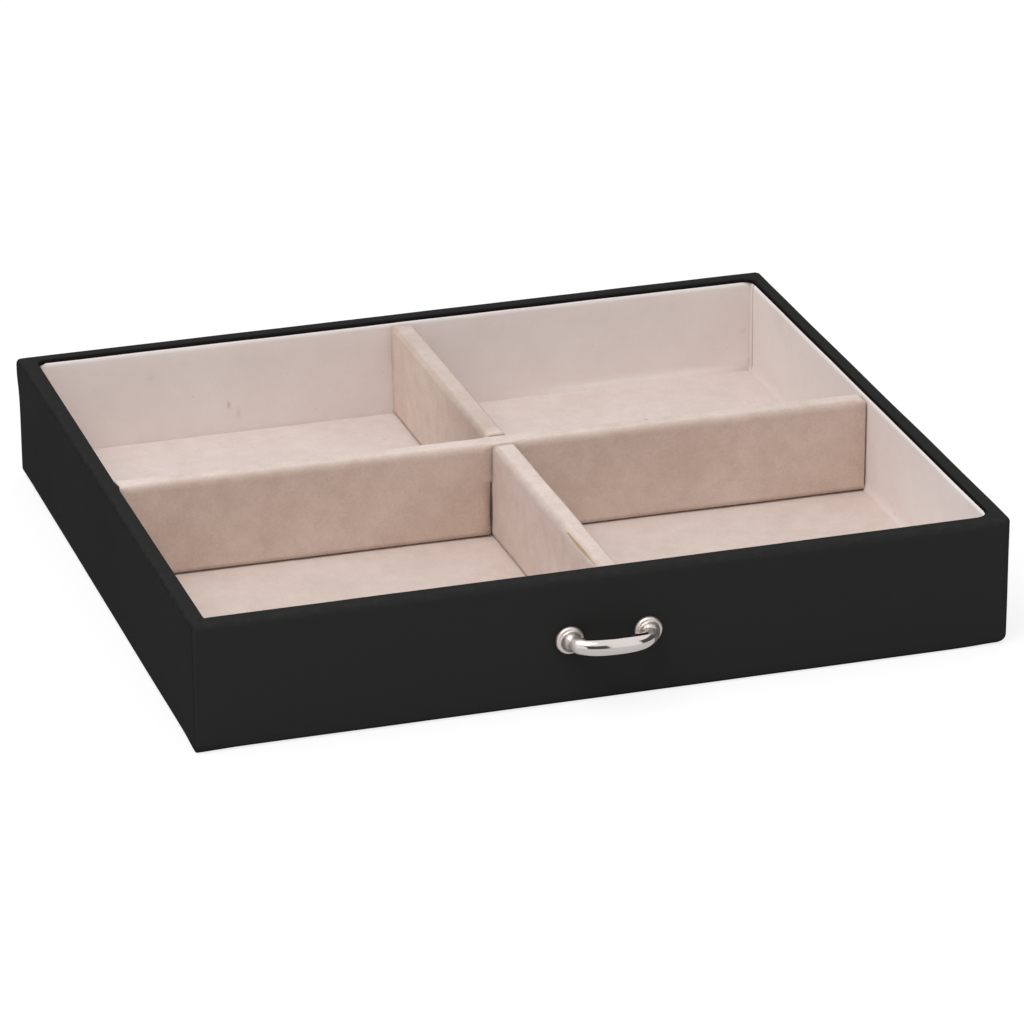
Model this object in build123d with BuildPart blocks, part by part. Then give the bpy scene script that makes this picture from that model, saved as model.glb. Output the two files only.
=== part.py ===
from build123d import *
import math
import os

# A drawer tray of a jewellery box: boards under black leatherette, velvet lining on card, a padded velvet
# floor, two velvet dividers that cross in a half lap, and a small bow handle.
# Millimetres. The origin is the centre of the underside, +X is right, +Y is towards the back, +Z is up.

# The whole tray
tray_width = 285.0
tray_depth = 252.0
tray_height = 45.8

# Leatherette
leather_thickness = 0.7
rim_inner_radius = 1.3
rim_lip_thickness = 1.1
rim_lip_height = 2.0
rim_opening_radius = 4.5
turn_in_thickness = 0.3
turn_in_height = 12.0
hem_width = 14.0

# Boards
wall_board_thickness = 3.8
bottom_board_thickness = 3.0
board_upright_radius = 2.1
board_top_radius = 1.7
board_bottom_radius = 0.8
end_rabbet_depth = 2.2
bottom_rabbet_depth = 1.9

# Felt under the bottom
felt_lap_thickness = 0.4
felt_inset = 3.0
felt_window_clearance = 0.3

# Lining
velvet_thickness = 0.5
liner_card_thickness = 0.6
liner_end_clearance = 0.1

# Floor pad
floor_card_thickness = 1.0
floor_foam_thickness = 4.0
floor_pad_clearance = 0.2

# Dividers
divider_core_thickness = 7.0
divider_core_top_radius = 1.5
divider_core_end_radius = 0.4
divider_below_lining = 0.1
long_divider_end_clearance = 0.55
short_divider_end_clearance = 0.4
divider_seat_clearance = 0.2
long_divider_x = -0.2
long_divider_y = 1.0
long_divider_turn = -0.7
short_divider_x = 1.1
short_divider_turn = 0.42
lap_above_middle = 2.85
lap_clearance = 0.3
slot_cut_overrun = 10.0
long_slot_left_clearance = 0.6
long_slot_right_clearance = 0.2
short_slot_front_clearance = 0.2
short_slot_back_clearance = 0.4

# Handle and its screws
handle_x = -1.0
handle_above_middle = 0.5
foot_spacing = 27.4
foot_radius = 4.9
foot_bead_radius = 1.2
foot_base_setback = 0.4
foot_dome_radius = 4.3
foot_dome_centre = 2.2
bar_standoff = 10.2
bar_middle_radius = 3.0
bar_root_radius = 2.65
bar_squareness = 3.3
bar_sections = 17
screw_radius = 1.5
screw_head_radius = 2.8
screw_hole_clearance = 0.1
screw_thread_clearance = 0.05
screw_reach = 3.5
screw_hole_bottom_gap = 0.6
screw_recess_width = 0.7
screw_recess_length = 3.0
screw_recess_depth = 0.9

# Heights and faces that several pieces share
hem_bottom = felt_lap_thickness
board_bottom = hem_bottom + leather_thickness
board_top = tray_height - leather_thickness
board_inner_inset = leather_thickness + wall_board_thickness
rim_width = board_inner_inset + rim_lip_thickness
upright_corner_radius = board_upright_radius + leather_thickness
rim_outer_radius = board_top_radius + leather_thickness
bottom_edge_radius = board_bottom_radius + leather_thickness
turn_in_inset = board_inner_inset + turn_in_thickness
card_inner_inset = turn_in_inset + liner_card_thickness
lining_inset = card_inner_inset + velvet_thickness
bottom_board_top = board_bottom + bottom_board_thickness
lining_top = tray_height - rim_lip_height
turn_in_bottom = lining_top - turn_in_height
floor_top = bottom_board_top + floor_card_thickness + floor_foam_thickness + velvet_thickness
divider_bottom = floor_top + divider_seat_clearance
divider_top = lining_top - divider_below_lining
divider_thickness = divider_core_thickness + 2 * velvet_thickness
lap_level = (divider_bottom + divider_top) / 2 + lap_above_middle
handle_z = (hem_bottom + tray_height) / 2 + handle_above_middle
front_face = -tray_depth / 2
front_board_inner_face = front_face + board_inner_inset
foot_places = [handle_x - foot_spacing / 2, handle_x + foot_spacing / 2]
screw_hole_radius = screw_radius + screw_hole_clearance

os.makedirs("parts", exist_ok=True)


def write(piece, name):
    piece.label = name
    export_step(piece, f"parts/{name}.step")
    print(name, round(piece.volume))


# Every wall board is cut from this block, and the leatherette is hollowed by it, so they fit all round.
def board_block():
    with BuildPart() as block:
        with BuildSketch(Plane.XY.offset(board_bottom)):
            RectangleRounded(
                tray_width - 2 * leather_thickness,
                tray_depth - 2 * leather_thickness,
                board_upright_radius,
            )
        extrude(amount=board_top - board_bottom)
        fillet(block.faces().sort_by(Axis.Z)[-1].edges(), board_top_radius)
        fillet(block.faces().sort_by(Axis.Z)[0].edges(), board_bottom_radius)
    return block.part


# The bottom board, which lies in a rabbet of its own size round the walls.
def bottom_block():
    inset = board_inner_inset - bottom_rabbet_depth
    with BuildPart() as bottom:
        with BuildSketch(Plane.XY.offset(board_bottom)):
            Rectangle(tray_width - 2 * inset, tray_depth - 2 * inset)
        extrude(amount=bottom_board_thickness)
    return bottom.part


# side is -1 for the front and 1 for the back. The side boards' ends lie in its two end rabbets.
def end_board(side):
    middle = side * (tray_depth / 2 - leather_thickness - wall_board_thickness / 2)
    rabbet_middle = side * (tray_depth / 2 - board_inner_inset + end_rabbet_depth / 2)
    rabbet_x = tray_width / 2 - leather_thickness - wall_board_thickness / 2
    with BuildPart() as board:
        add(board_block())
        with BuildSketch(Plane.XY.offset(board_bottom)):
            with Locations((0, middle)):
                Rectangle(tray_width, wall_board_thickness)
        extrude(amount=board_top - board_bottom, mode=Mode.INTERSECT)
        with BuildSketch(Plane.XY.offset(board_bottom)):
            with Locations((-rabbet_x, rabbet_middle), (rabbet_x, rabbet_middle)):
                Rectangle(wall_board_thickness, end_rabbet_depth)
        extrude(amount=board_top - board_bottom, mode=Mode.SUBTRACT)
        add(bottom_block(), mode=Mode.SUBTRACT)
        if side < 0:
            for x in foot_places:
                with Locations(Plane((x, front_board_inner_face, handle_z), z_dir=(0, 1, 0))):
                    CounterSinkHole(
                        radius=screw_hole_radius,
                        counter_sink_radius=screw_head_radius + screw_hole_clearance,
                        counter_sink_angle=90,
                        depth=wall_board_thickness,
                    )
    return board.part


# side is -1 for the left and 1 for the right.
def side_board(side):
    middle = side * (tray_width / 2 - leather_thickness - wall_board_thickness / 2)
    length = tray_depth - 2 * board_inner_inset + 2 * end_rabbet_depth
    with BuildPart() as board:
        add(board_block())
        with BuildSketch(Plane.XY.offset(board_bottom)):
            with Locations((middle, 0)):
                Rectangle(wall_board_thickness, length)
        extrude(amount=board_top - board_bottom, mode=Mode.INTERSECT)
        add(bottom_block(), mode=Mode.SUBTRACT)
    return board.part


def make_boards():
    write(end_board(-1), "front_board")
    write(end_board(1), "back_board")
    write(side_board(-1), "left_board")
    write(side_board(1), "right_board")
    write(bottom_block(), "bottom_board")


# The ring of wall boards as one block, without the room inside it.
def board_ring():
    with BuildPart() as ring:
        add(board_block())
        with BuildSketch(Plane.XY.offset(board_bottom)):
            Rectangle(tray_width - 2 * board_inner_inset, tray_depth - 2 * board_inner_inset)
        extrude(amount=board_top - board_bottom, mode=Mode.SUBTRACT)
    return ring.part


# One skin: up the outer faces, over the rim with a soft lip, down inside, and under the bottom as a hem.
def make_leather_wrap():
    with BuildPart() as leather_wrap:
        with BuildSketch(Plane.XY.offset(hem_bottom)):
            RectangleRounded(tray_width, tray_depth, upright_corner_radius)
        extrude(amount=tray_height - hem_bottom)
        fillet(leather_wrap.faces().sort_by(Axis.Z)[-1].edges(), rim_outer_radius)
        fillet(leather_wrap.faces().sort_by(Axis.Z)[0].edges(), bottom_edge_radius)
        with BuildSketch(Plane.XY.offset(hem_bottom)):
            Rectangle(tray_width - 2 * hem_width, tray_depth - 2 * hem_width)
        extrude(amount=leather_thickness, mode=Mode.SUBTRACT)
        with BuildSketch(Plane.XY.offset(board_bottom)):
            Rectangle(tray_width - 2 * board_inner_inset, tray_depth - 2 * board_inner_inset)
        extrude(amount=turn_in_bottom - board_bottom, mode=Mode.SUBTRACT)
        with BuildSketch(Plane.XY.offset(turn_in_bottom)):
            Rectangle(tray_width - 2 * turn_in_inset, tray_depth - 2 * turn_in_inset)
        extrude(amount=turn_in_height, mode=Mode.SUBTRACT)
        with BuildSketch(Plane.XY.offset(lining_top)):
            RectangleRounded(tray_width - 2 * rim_width, tray_depth - 2 * rim_width, rim_opening_radius)
        extrude(amount=rim_lip_height, mode=Mode.SUBTRACT)
        rim_face = leather_wrap.faces().sort_by(Axis.Z)[-1]
        fillet(rim_face.inner_wires()[0].edges(), rim_inner_radius)
        add(board_ring(), mode=Mode.SUBTRACT)
        for x in foot_places:
            with Locations(Plane((x, front_face, handle_z), z_dir=(0, -1, 0))):
                Hole(radius=screw_hole_radius, depth=board_inner_inset)
    write(leather_wrap.part, "leather_wrap")


# Full felt fills the hem's window, and pressed felt laps over the hem.
def make_underside_felt():
    window_inset = hem_width + felt_window_clearance
    with BuildPart() as underside_felt:
        with BuildSketch(Plane.XY):
            RectangleRounded(
                tray_width - 2 * felt_inset, tray_depth - 2 * felt_inset, upright_corner_radius
            )
        extrude(amount=felt_lap_thickness)
        with BuildSketch(Plane.XY.offset(felt_lap_thickness)):
            Rectangle(tray_width - 2 * window_inset, tray_depth - 2 * window_inset)
        extrude(amount=leather_thickness)
    write(underside_felt.part, "underside_felt")


# A card and its velvet against one wall. The velvet covers the card's inner face and laps over its top.
# turn is the wall's angle about +Z from the front wall. length is the liner's own.
# wall_distance is from the middle of the tray to the wall's outer face.
def make_liner(name, turn, length, wall_distance):
    outer = wall_distance - turn_in_inset
    card_inner = wall_distance - card_inner_inset
    inner = wall_distance - lining_inset
    card_top = lining_top - velvet_thickness
    base = Plane.XY.offset(bottom_board_top).rotated((0, 0, turn))
    with BuildPart() as card:
        with BuildSketch(base):
            with Locations((0, -(outer + card_inner) / 2)):
                Rectangle(length, liner_card_thickness)
        extrude(amount=card_top - bottom_board_top)
    write(card.part, f"{name}_liner_card")
    with BuildPart() as velvet:
        with BuildSketch(base):
            with Locations((0, -(outer + inner) / 2)):
                Rectangle(length, outer - inner)
        extrude(amount=lining_top - bottom_board_top)
        add(card.part, mode=Mode.SUBTRACT)
    write(velvet.part, f"{name}_liner_velvet")


def make_liners():
    end_length = tray_width - 2 * turn_in_inset - 2 * liner_end_clearance
    side_length = tray_depth - 2 * lining_inset - 2 * liner_end_clearance
    make_liner("front", 0, end_length, tray_depth / 2)
    make_liner("right", 90, side_length, tray_width / 2)
    make_liner("back", 180, end_length, tray_depth / 2)
    make_liner("left", 270, side_length, tray_width / 2)


# The floor pad: card, foam on it, and velvet over the foam and down round the edges.
def make_floor_pad():
    pad_width = tray_width - 2 * lining_inset - 2 * floor_pad_clearance
    pad_depth = tray_depth - 2 * lining_inset - 2 * floor_pad_clearance
    foam_bottom = bottom_board_top + floor_card_thickness
    with BuildPart() as floor_card:
        with BuildSketch(Plane.XY.offset(bottom_board_top)):
            Rectangle(pad_width - 2 * velvet_thickness, pad_depth - 2 * velvet_thickness)
        extrude(amount=floor_card_thickness)
    write(floor_card.part, "floor_card")
    with BuildPart() as floor_foam:
        with BuildSketch(Plane.XY.offset(foam_bottom)):
            Rectangle(pad_width - 2 * velvet_thickness, pad_depth - 2 * velvet_thickness)
        extrude(amount=floor_foam_thickness)
    write(floor_foam.part, "floor_foam")
    with BuildPart() as floor_velvet:
        with BuildSketch(Plane.XY.offset(bottom_board_top)):
            Rectangle(pad_width, pad_depth)
        extrude(amount=floor_top - bottom_board_top)
        fillet(floor_velvet.faces().sort_by(Axis.Z)[-1].edges(), velvet_thickness)
        add(floor_card.part, mode=Mode.SUBTRACT)
        add(floor_foam.part, mode=Mode.SUBTRACT)
    write(floor_velvet.part, "floor_velvet")


# A plane at a height, turned about +Z, whose X runs along a divider.
def divider_plane(x, y, turn, height):
    angle = math.radians(turn)
    return Plane((x, y, height), x_dir=(math.cos(angle), math.sin(angle), 0), z_dir=(0, 0, 1))


def long_plane(height):
    return divider_plane(long_divider_x, long_divider_y, long_divider_turn, height)


def short_plane(height):
    return divider_plane(short_divider_x, 0, 90 + short_divider_turn, height)


# The length that a turned divider may have between two lining faces.
def divider_length(room, turn, clearance):
    angle = math.radians(abs(turn))
    return (room - 2 * clearance - divider_thickness * math.sin(angle)) / math.cos(angle)


# A divider's block, made smaller by inset all round but at its bottom.
def divider_block(plane, length, inset):
    height = divider_top - divider_bottom - inset
    growth = velvet_thickness - inset
    with BuildPart() as block:
        with BuildSketch(plane):
            Rectangle(length - 2 * inset, divider_thickness - 2 * inset)
        extrude(amount=height)
        fillet(block.edges().filter_by(Axis.Z), divider_core_end_radius + growth)
        fillet(block.faces().sort_by(Axis.Z)[-1].edges(), divider_core_top_radius + growth)
    return block.part


# The room that the short divider takes in the long one, from below up to the lap.
def long_slot():
    width = divider_thickness + long_slot_left_clearance + long_slot_right_clearance
    shift = (long_slot_left_clearance - long_slot_right_clearance) / 2
    with BuildPart() as slot:
        with BuildSketch(short_plane(divider_bottom)):
            with Locations((0, shift)):
                Rectangle(divider_thickness + 2 * slot_cut_overrun, width)
        extrude(amount=lap_level - divider_bottom)
    return slot.part


# The room that the long divider takes in the short one, from the lap up to the top.
def short_slot():
    width = divider_thickness + short_slot_front_clearance + short_slot_back_clearance
    shift = (short_slot_back_clearance - short_slot_front_clearance) / 2
    with BuildPart() as slot:
        with BuildSketch(long_plane(lap_level - lap_clearance)):
            with Locations((0, shift)):
                Rectangle(divider_thickness + 2 * slot_cut_overrun, width)
        extrude(amount=divider_top - lap_level + lap_clearance)
    return slot.part


def make_divider(name, plane, length, slot):
    with BuildPart() as core:
        add(divider_block(plane, length, velvet_thickness))
        add(slot, mode=Mode.SUBTRACT)
    write(core.part, f"{name}_core")
    with BuildPart() as velvet:
        add(divider_block(plane, length, 0))
        add(divider_block(plane, length, velvet_thickness), mode=Mode.SUBTRACT)
        add(slot, mode=Mode.SUBTRACT)
    write(velvet.part, f"{name}_velvet")


def make_dividers():
    width, depth = tray_width - 2 * lining_inset, tray_depth - 2 * lining_inset
    long_length = divider_length(width, long_divider_turn, long_divider_end_clearance)
    short_length = divider_length(depth, short_divider_turn, short_divider_end_clearance)
    make_divider("long_divider", long_plane(divider_bottom), long_length, long_slot())
    make_divider("short_divider", short_plane(divider_bottom), short_length, short_slot())


# The bar's centre line is half of a superellipse, so it leaves the feet square and turns soft elbows.
# For t from 0 to 180 degrees, x is half the spacing times |cos t| ^ (2 / squareness), and the distance from
# the front is the standoff times (sin t) ^ (2 / squareness).
def bar_point(t):
    power = 2 / bar_squareness
    x = math.copysign(abs(math.cos(t)) ** power, math.cos(t)) * foot_spacing / 2
    out = math.sin(t) ** power * bar_standoff
    return Vector(handle_x + x, front_face - out, handle_z)


def bar_section(share):
    t = math.pi * share
    nearby = math.pi / 300
    if share == 0:
        direction = Vector(0, -1, 0)
    elif share == 1:
        direction = Vector(0, 1, 0)
    else:
        direction = bar_point(t + nearby) - bar_point(t - nearby)
    middle = math.sin(t) ** 3
    radius = bar_root_radius + (bar_middle_radius - bar_root_radius) * middle
    return Plane(bar_point(t), z_dir=direction), radius


# A round foot that seats on the leatherette: a flat base, a bead round it, and a dome that the bar leaves.
def foot(x):
    with BuildPart() as one_foot:
        with BuildSketch(Plane((x, front_face, handle_z), z_dir=(0, -1, 0))):
            Circle(foot_radius - foot_base_setback)
        extrude(amount=foot_bead_radius)
        with Locations(Plane((x, front_face - foot_bead_radius, handle_z), z_dir=(0, -1, 0))):
            Torus(foot_radius - foot_bead_radius, foot_bead_radius)
        with Locations(Plane((x, front_face - foot_dome_centre, handle_z), z_dir=(0, -1, 0))):
            Sphere(foot_dome_radius, arc_size1=0)
    return one_foot.part


def make_handle():
    hole_depth = screw_reach + screw_hole_bottom_gap
    with BuildPart() as handle:
        for index in range(bar_sections):
            plane, radius = bar_section(index / (bar_sections - 1))
            with BuildSketch(plane):
                Circle(radius)
        loft()
        for x in foot_places:
            add(foot(x))
            with Locations(Plane((x, front_face, handle_z), z_dir=(0, 1, 0))):
                Hole(radius=screw_radius + screw_thread_clearance, depth=hole_depth)
    write(handle.part, "handle")


# One countersunk screw, head flush with the front board's inner face, thread in the handle's foot.
def screw(x):
    length = board_inner_inset + screw_reach
    cone = screw_head_radius - screw_radius
    axis_plane = Plane((x, front_board_inner_face, handle_z), x_dir=(1, 0, 0), z_dir=(0, 0, 1))
    with BuildPart() as one:
        with BuildSketch(axis_plane):
            with BuildLine():
                Polyline(
                    (0, 0),
                    (screw_head_radius, 0),
                    (screw_radius, -cone),
                    (screw_radius, -length),
                    (0, -length),
                    close=True,
                )
            make_face()
        revolve(axis=Axis((x, 0, handle_z), (0, 1, 0)))
        with BuildSketch(Plane((x, front_board_inner_face, handle_z), z_dir=(0, 1, 0))):
            Rectangle(screw_recess_length, screw_recess_width)
            Rectangle(screw_recess_width, screw_recess_length)
        extrude(amount=-screw_recess_depth, mode=Mode.SUBTRACT)
    return one.part


def make_handle_screws():
    screws = Compound(children=[screw(x) for x in foot_places])
    write(screws, "handle_screws")


make_boards()
make_leather_wrap()
make_underside_felt()
make_liners()
make_floor_pad()
make_dividers()
make_handle()
make_handle_screws()
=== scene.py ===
import math

import bmesh
import bpy
import numpy as np
from mathutils import Matrix, Vector


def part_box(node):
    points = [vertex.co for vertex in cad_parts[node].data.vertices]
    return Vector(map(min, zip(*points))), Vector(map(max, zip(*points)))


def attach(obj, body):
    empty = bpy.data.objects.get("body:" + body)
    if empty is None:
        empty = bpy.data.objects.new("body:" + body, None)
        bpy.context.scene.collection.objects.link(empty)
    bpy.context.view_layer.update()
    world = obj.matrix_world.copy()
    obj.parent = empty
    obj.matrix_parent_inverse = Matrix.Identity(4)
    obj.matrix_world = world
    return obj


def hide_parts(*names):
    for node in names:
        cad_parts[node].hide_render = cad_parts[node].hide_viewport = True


# A drawer tray of a jewellery box: black leatherette over boards, beige velvet on the walls, the floor
# pad and two crossing dividers, and a small nickel bow handle. Meshes are worked out in millimetres in
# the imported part's frame, +X right, +Y back and +Z up, and stored in metres.
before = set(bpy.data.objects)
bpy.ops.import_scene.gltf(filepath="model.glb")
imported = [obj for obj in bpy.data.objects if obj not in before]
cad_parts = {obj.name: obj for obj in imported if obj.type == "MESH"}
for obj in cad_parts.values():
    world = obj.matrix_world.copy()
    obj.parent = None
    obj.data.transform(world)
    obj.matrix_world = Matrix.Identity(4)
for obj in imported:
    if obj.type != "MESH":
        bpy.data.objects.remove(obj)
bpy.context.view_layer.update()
mm = 0.001


# the low and the high corner of a node's box, in millimetres
def boxOf(node):
    low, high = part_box(node)
    return np.array(low) / mm, np.array(high) / mm


leatherLow, leatherHigh = boxOf("leather_wrap")
boardLow, boardHigh = boxOf("front_board")
linerLow, linerHigh = boxOf("front_liner_velvet")
padLow, padHigh = boxOf("floor_velvet")
handleLow, handleHigh = boxOf("handle")

tray = dict(
    halfWidth=leatherHigh[0],
    halfDepth=leatherHigh[1],
    rimTop=leatherHigh[2],
    hemBottom=leatherLow[2],
    boardOuter=boardLow[1] - leatherLow[1],
    boardInner=boardHigh[1] - leatherLow[1],
    boardBottom=boardLow[2],
    boardTop=boardHigh[2],
    turnIn=linerLow[1] - leatherLow[1],
    lining=linerHigh[1] - leatherLow[1],
    liningTop=linerHigh[2],
    liningBottom=linerLow[2],
)
print("frame loaded")


class Wire:
    # an output socket, which can be added, subtracted and multiplied like a number
    def __init__(self, recipe, socket):
        self.recipe = recipe
        self.socket = socket

    def __add__(self, other):
        return self.recipe.maths("ADD", self, other)

    def __radd__(self, other):
        return self.recipe.maths("ADD", other, self)

    def __sub__(self, other):
        return self.recipe.maths("SUBTRACT", self, other)

    def __rsub__(self, other):
        return self.recipe.maths("SUBTRACT", other, self)

    def __mul__(self, other):
        return self.recipe.maths("MULTIPLY", self, other)

    def __rmul__(self, other):
        return self.recipe.maths("MULTIPLY", other, self)


class Recipe:
    # the node tree of a material or of the world
    def __init__(self, tree):
        self.tree = tree
        self.tree.nodes.clear()

    def node(self, kind, settings=None, sockets=None, output=0):
        made = self.tree.nodes.new("ShaderNode" + kind)
        for key, value in (settings or {}).items():
            if key == "stops":
                self.setStops(made.color_ramp, value)
            else:
                setattr(made, key, value)
        for key, value in (sockets or {}).items():
            socket = made.inputs[key]
            if isinstance(value, Wire):
                self.tree.links.new(value.socket, socket)
            elif socket.type == "RGBA" and len(value) == 3:
                socket.default_value = (*value, 1.0)
            else:
                socket.default_value = value
        return Wire(self, made.outputs[output]) if made.outputs else made

    def setStops(self, ramp, stops):
        while len(ramp.elements) < len(stops):
            ramp.elements.new(0.5)
        for element, (place, shade) in zip(ramp.elements, stops):
            element.position = place
            element.color = (shade, shade, shade, 1.0)

    def maths(self, operation, first, second):
        return self.node("Math", {"operation": operation}, {0: first, 1: second})

    def larger(self, first, second):
        return self.maths("MAXIMUM", first, second)

    def vector(self, operation, first, second=(0, 0, 0), output=0):
        return self.node("VectorMath", {"operation": operation}, {0: first, 1: second}, output)

    # one of a vector's three numbers: 0 for X, 1 for Y and 2 for Z
    def axis(self, vector, number):
        return self.node("SeparateXYZ", {}, {"Vector": vector}, number)

    # the way that the surface faces
    def facing(self):
        return self.node("NewGeometry", output=1)

    # a value that the mesh holds for each of its points
    def attribute(self, name):
        return self.node("Attribute", {"attribute_name": name}, output=2)

    # whether the ray comes straight from the camera, off a mirror, or through something
    def ray(self, kind):
        outputs = dict(straight=0, mirrored=3, through=6)
        return self.node("LightPath", output=outputs[kind])

    def blend(self, share, first, second):
        return self.node("Mix", {"data_type": "RGBA"}, {0: share, 6: first, 7: second}, output=2)

    # multiplies a colour by three numbers, as far as the share says
    def tint(self, colour, share, factors):
        return self.blend(share, colour, self.vector("MULTIPLY", colour, factors))

    # the place on the piece, in metres
    def place(self, stretch=(1, 1, 1)):
        spot = self.node("TexCoord", output=3)
        return self.node("Mapping", {}, {"Vector": spot, "Scale": stretch})

    def placeInMillimetres(self):
        return self.place((1 / mm, 1 / mm, 1 / mm))

    # soft noise about one grain in size, from 0 to 1; the grain is in millimetres
    def cloud(self, spot, grain, detail=2.0, roughness=0.5, distortion=0.0):
        sockets = {
            "Vector": spot,
            "Scale": 1 / (grain * mm),
            "Detail": detail,
            "Roughness": roughness,
            "Distortion": distortion,
        }
        return self.node("TexNoise", {}, sockets)

    # the distance to the nearest of scattered points, in grains
    def cells(self, spot, grain, smooth=0.35):
        sockets = {"Vector": spot, "Scale": 1 / (grain * mm), "Smoothness": smooth}
        return self.node("TexVoronoi", {"feature": "SMOOTH_F1"}, sockets)

    # 0 below the first level, 1 above the second, and smooth between them
    def between(self, value, low, high):
        return self.node("MapRange", {"interpolation_type": "SMOOTHSTEP"}, {0: value, 1: low, 2: high})

    def bump(self, height, depth, strength=1.0):
        return self.node("Bump", {}, {"Height": height, "Distance": depth * mm, "Strength": strength})

    def finish(self, sockets):
        shader = self.node("BsdfPrincipled", {}, sockets)
        self.node("OutputMaterial", {}, {"Surface": shader})


def newMaterial(name):
    material = bpy.data.materials.new(name)
    material.use_nodes = True
    return material, Recipe(material.node_tree)


leatherette = dict(
    black=(0.0174, 0.0174, 0.0174),
    # painted light: the greyer black of the faces that look forward and up
    litGrey=(0.0272, 0.0270, 0.0268),
    worn=(0.036, 0.035, 0.034),
    shaded=(0.007, 0.007, 0.007),
    grain=0.85,
    grainDepth=0.05,
    patch=55,
    rub=3.0,
    roughness=0.50,
    specular=0.006,
)


# The faces that look forward and up, the front and the rim, are painted a little greyer than the other
# sides: painted light.
# The mesh holds how worn and how shaded its edges are.
def makeLeatherette():
    facts = leatherette
    material, recipe = newMaterial("blackLeatherette")
    spot = recipe.place()
    pebbles = recipe.cells(spot, facts["grain"])
    pores = recipe.cloud(spot, facts["grain"] / 3, detail=3.0)
    patches = recipe.cloud(spot, facts["patch"], detail=3.0)
    rubs = recipe.between(recipe.cloud(spot, facts["rub"], detail=4.0), 0.40, 0.75)
    toFront = recipe.axis(recipe.facing(), 1) * -1
    toTop = recipe.axis(recipe.facing(), 2)
    # painted light: the faces towards the front and the top are painted greyer
    litFacing = recipe.larger(recipe.between(toFront, 0.3, 0.8), recipe.between(toTop, 0.4, 0.9))
    colour = recipe.blend(litFacing, facts["black"], facts["litGrey"])
    colour = recipe.blend(recipe.attribute("wear") * rubs * 0.7, colour, facts["worn"])
    colour = recipe.blend(recipe.attribute("shade"), colour, facts["shaded"])
    recipe.finish({
        "Base Color": colour,
        "Roughness": facts["roughness"] + patches * 0.10 + pebbles * 0.06,
        "Specular IOR Level": facts["specular"],
        "Normal": recipe.bump(pebbles * 0.75 + pores * 0.25, facts["grainDepth"], 0.30),
    })
    return material


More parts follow.
